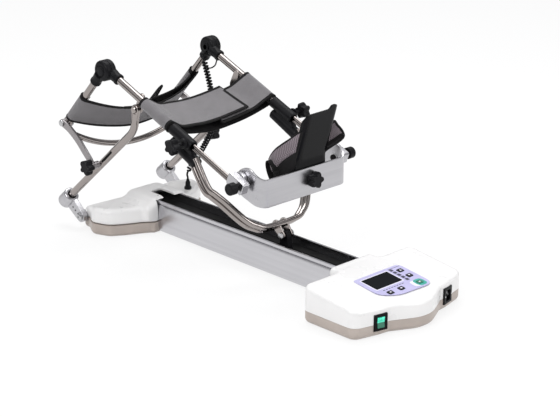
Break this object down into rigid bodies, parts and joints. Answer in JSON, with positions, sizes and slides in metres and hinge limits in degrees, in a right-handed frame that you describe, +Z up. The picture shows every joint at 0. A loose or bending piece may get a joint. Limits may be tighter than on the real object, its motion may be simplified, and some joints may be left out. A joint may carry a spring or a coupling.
{
  "type": "continuous passive motion machine",
  "caption": "Floor-standing knee exerciser: a linkage with thigh and calf slings and a foot holder, driven along a rail by a motor console.",
  "frame": {"origin": "on the floor under the middle of the box at rest", "axes": "+X along the rail towards the foot end and the console, +Y towards the patient's left side, +Z up"},
  "size_m": [0.9362, 0.38, 0.3979],
  "materials": {
    "white_shell": "smooth satin",
    "taupe_shell": "satin",
    "chrome_tube": "polished",
    "satin_metal": "satin",
    "cast_metal": "matt cast",
    "black_plastic": "fine grain",
    "mesh_fabric": "knitted mesh",
    "panel_film": "satin film",
    "display_window": "glossy",
    "green_lens": "glossy",
    "brass": "machined",
    "steel": "zinc plated",
    "circuit_board": "matt"
  },
  "bodies": {
    "base": {"rail": "satin_metal", "rail_slot_strip": "black_plastic", "rear_base_tray": "taupe_shell", "rear_base_cover": "white_shell", "right_pivot_pin": "steel", "left_pivot_pin": "steel", "console_tray": "taupe_shell", "console_cover": "white_shell", "panel_overlay": "panel_film", "lcd_display": "display_window", "switch_frame": "black_plastic", "power_inlet": "black_plastic", "gear_motor": "cast_metal", "rear_bearing_block": "cast_metal", "control_board": "circuit_board", "cord_plug": "black_plastic", "curly_cord": "black_plastic"},
    "drive_lever": {"right_pivot_bracket": "satin_metal", "left_pivot_bracket": "satin_metal", "right_drive_tube": "chrome_tube", "left_drive_tube": "chrome_tube"},
    "links": {"right_link": "satin_metal", "left_link": "satin_metal", "cross_arch": "chrome_tube"},
    "shank_frame": {"right_knee_hub_inner": "black_plastic", "left_knee_hub_inner": "black_plastic", "right_shank_tube": "chrome_tube", "left_shank_tube": "chrome_tube", "right_clamp": "black_plastic", "left_clamp": "black_plastic", "u_frame": "chrome_tube", "calf_sling": "mesh_fabric"},
    "thigh_frame": {"right_thigh_tube": "chrome_tube", "left_thigh_tube": "chrome_tube", "right_knee_hub_outer": "black_plastic", "left_knee_hub_outer": "black_plastic", "thigh_sling": "mesh_fabric"},
    "carriage": {"carriage_slider": "black_plastic", "carriage_pin": "steel"},
    "lead_nut_body": {"lead_nut": "brass"},
    "lead_screw_body": {"lead_screw": "steel"},
    "foot_slide": {"right_foot_rods": "cast_metal", "left_foot_rods": "cast_metal"},
    "foot_holder": {"foot_bracket": "satin_metal"},
    "foot_rest": {"foot_plate": "black_plastic", "bootie": "mesh_fabric"},
    "foot_knob": {"foot_star_knob": "black_plastic"},
    "right_link_grip": {"right_link_knob": "black_plastic"},
    "left_link_grip": {"left_link_knob": "black_plastic"},
    "right_clamp_grip": {"right_clamp_knob": "black_plastic"},
    "left_clamp_grip": {"left_clamp_knob": "black_plastic"},
    "right_ear_grip": {"right_ear_knob": "black_plastic"},
    "left_ear_grip": {"left_ear_knob": "black_plastic"},
    "power_rocker": {"switch_rocker": "green_lens"},
    "key_up_cap": {"key_up": "black_plastic"},
    "key_down_cap": {"key_down": "black_plastic"},
    "key_start_cap": {"key_start": "green_lens"},
    "key_stop_cap": {"key_stop": "black_plastic"},
    "key_mode_cap": {"key_mode": "black_plastic"}
  },
  "joints": [
    {"name": "lever_hinge", "type": "hinge", "parent": "base", "child": "drive_lever", "pos_m": [-0.39991, 0, 0.028], "axis": [0, -1, 0], "range_deg": [-26, 20], "deforming": ["curly_cord"]},
    {"name": "link_hinge", "type": "hinge", "parent": "drive_lever", "child": "links", "pos_m": [-0.3239, 0, 0.166], "axis": [0, -1, 0], "range_deg": [-31.9, 41.45]},
    {"name": "shank_hinge", "type": "hinge", "parent": "drive_lever", "child": "shank_frame", "pos_m": [-0.20591, 0, 0.31], "axis": [0, -1, 0], "range_deg": [-34.86, 45.3]},
    {"name": "knee_hinge", "type": "hinge", "parent": "shank_frame", "child": "thigh_frame", "pos_m": [-0.29391, 0, 0.376], "axis": [0, -1, 0], "range_deg": [-46.2, 35.56]},
    {"name": "carriage_hinge", "type": "hinge", "parent": "shank_frame", "child": "carriage", "pos_m": [0.08909, 0, 0.083], "axis": [0, -1, 0], "range_deg": [-19.3, 14.86]},
    {"name": "nut_slide", "type": "slide", "parent": "base", "child": "lead_nut_body", "axis": [1, 0, 0], "range_m": [-0.1474, 0.1916]},
    {"name": "screw_spin", "type": "hinge", "parent": "base", "child": "lead_screw_body", "pos_m": [0.0351, 0, 0.014], "axis": [1, 0, 0], "continuous": true},
    {"name": "foot_length_slide", "type": "slide", "parent": "shank_frame", "child": "foot_slide", "axis": [0.9278, 0, -0.373], "range_m": [-0.035, 0.06]},
    {"name": "foot_tilt", "type": "hinge", "parent": "foot_slide", "child": "foot_holder", "pos_m": [0.10582, 0, 0.22286], "axis": [0, -1, 0], "range_deg": [-25, 25]},
    {"name": "foot_turn", "type": "hinge", "parent": "foot_holder", "child": "foot_rest", "pos_m": [0.14109, 0.019, 0.21], "axis": [1, 0, 0], "range_deg": [-15, 15]},
    {"name": "foot_knob_turn", "type": "hinge", "parent": "foot_holder", "child": "foot_knob", "pos_m": [0.1501, 0.019, 0.21], "axis": [1, 0, 0], "continuous": true},
    {"name": "right_link_knob_turn", "type": "hinge", "parent": "drive_lever", "child": "right_link_grip", "pos_m": [-0.3239, -0.17, 0.166], "axis": [0, -1, 0], "continuous": true},
    {"name": "right_clamp_knob_turn", "type": "hinge", "parent": "shank_frame", "child": "right_clamp_grip", "pos_m": [-0.04617, -0.18, 0.27641], "axis": [0, -1, 0], "continuous": true},
    {"name": "right_ear_knob_turn", "type": "hinge", "parent": "foot_slide", "child": "right_ear_grip", "pos_m": [0.10582, -0.165, 0.22286], "axis": [0, -1, 0], "continuous": true},
    {"name": "left_link_knob_turn", "type": "hinge", "parent": "drive_lever", "child": "left_link_grip", "pos_m": [-0.3239, 0.17, 0.166], "axis": [0, 1, 0], "continuous": true},
    {"name": "left_clamp_knob_turn", "type": "hinge", "parent": "shank_frame", "child": "left_clamp_grip", "pos_m": [-0.04617, 0.18, 0.27641], "axis": [0, 1, 0], "continuous": true},
    {"name": "left_ear_knob_turn", "type": "hinge", "parent": "foot_slide", "child": "left_ear_grip", "pos_m": [0.10582, 0.165, 0.22286], "axis": [0, 1, 0], "continuous": true},
    {"name": "rocker_tilt", "type": "hinge", "parent": "base", "child": "power_rocker", "pos_m": [0.4371, -0.095, 0.0285], "axis": [0.2326, 0.9726, 0], "range_deg": [-7, 7]},
    {"name": "key_up_press", "type": "slide", "parent": "base", "child": "key_up_cap", "axis": [0.1231, 0, 0.9924], "range_m": [-0.0006, 0], "stiffness_N_per_m": 600, "springref_m": 0.0004},
    {"name": "key_down_press", "type": "slide", "parent": "base", "child": "key_down_cap", "axis": [0.1231, 0, 0.9924], "range_m": [-0.0006, 0], "stiffness_N_per_m": 600, "springref_m": 0.0004},
    {"name": "key_start_press", "type": "slide", "parent": "base", "child": "key_start_cap", "axis": [0.1231, 0, 0.9924], "range_m": [-0.0006, 0], "stiffness_N_per_m": 600, "springref_m": 0.0004},
    {"name": "key_stop_press", "type": "slide", "parent": "base", "child": "key_stop_cap", "axis": [0.1231, 0, 0.9924], "range_m": [-0.0006, 0], "stiffness_N_per_m": 600, "springref_m": 0.0004},
    {"name": "key_mode_press", "type": "slide", "parent": "base", "child": "key_mode_cap", "axis": [0.1231, 0, 0.9924], "range_m": [-0.0006, 0], "stiffness_N_per_m": 600, "springref_m": 0.0004}
  ],
  "couplings": [
    {"joint": "shank_hinge", "follows": "lever_hinge", "ratio": -1.74},
    {"joint": "knee_hinge", "follows": "lever_hinge", "ratio": 1.7748},
    {"joint": "link_hinge", "follows": "lever_hinge", "ratio": -1.5921},
    {"joint": "carriage_hinge", "follows": "lever_hinge", "ratio": 0.74},
    {"joint": "nut_slide", "follows": "lever_hinge", "m_per_rad": -0.4217}
  ]
}
